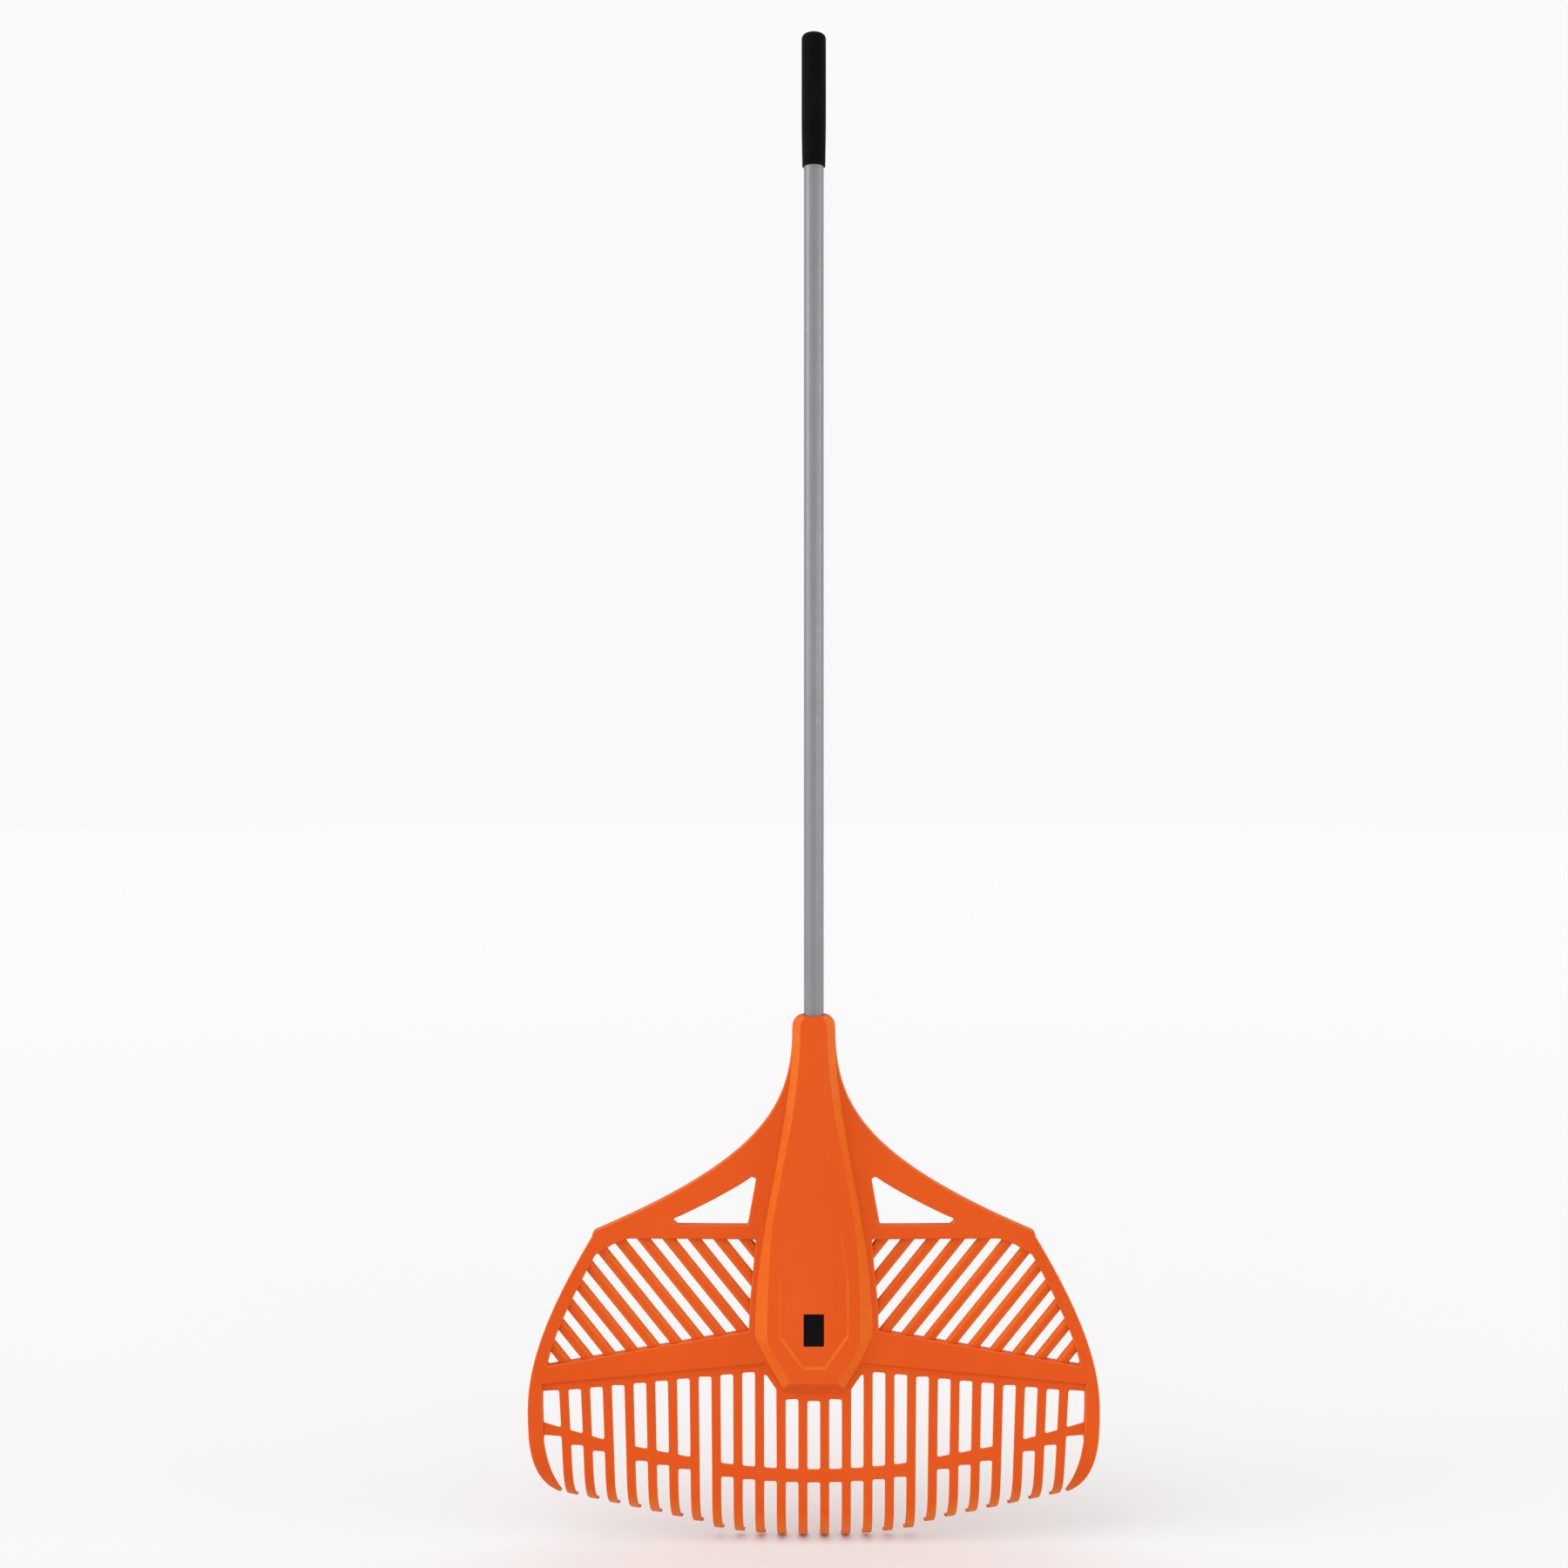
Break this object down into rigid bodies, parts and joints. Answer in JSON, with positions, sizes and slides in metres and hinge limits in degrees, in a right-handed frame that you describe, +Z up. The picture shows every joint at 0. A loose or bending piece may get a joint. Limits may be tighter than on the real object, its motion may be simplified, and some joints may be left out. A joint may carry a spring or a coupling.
{
  "type": "leaf rake",
  "caption": "Long-handled plastic leaf rake: a moulded fan head with back-bent tines and diagonal lattice ribs on a steel tube with a closed rubber grip.",
  "frame": {"origin": "on the handle's axis at the middle of the hand grip, where the rake is held", "axes": "+Z up the handle towards the grip's closed end, -Y to the front (the side the boss stands out on), +X to the right seen from the front; the tines' ends bend back towards +Y"},
  "size_m": [0.636, 0.0516, 1.6818],
  "materials": {
    "head_plastic": "satin moulded polypropylene",
    "tube_coating": "grey powder coating, half gloss",
    "grip_rubber": "matt, fine pebbled",
    "plug_plastic": "matt black"
  },
  "bodies": {
    "root": {"rake_head": "head_plastic", "handle_tube": "tube_coating", "grip": "grip_rubber", "tube_top_plug": "plug_plastic", "lock_plug": "plug_plastic"}
  },
  "joints": []
}
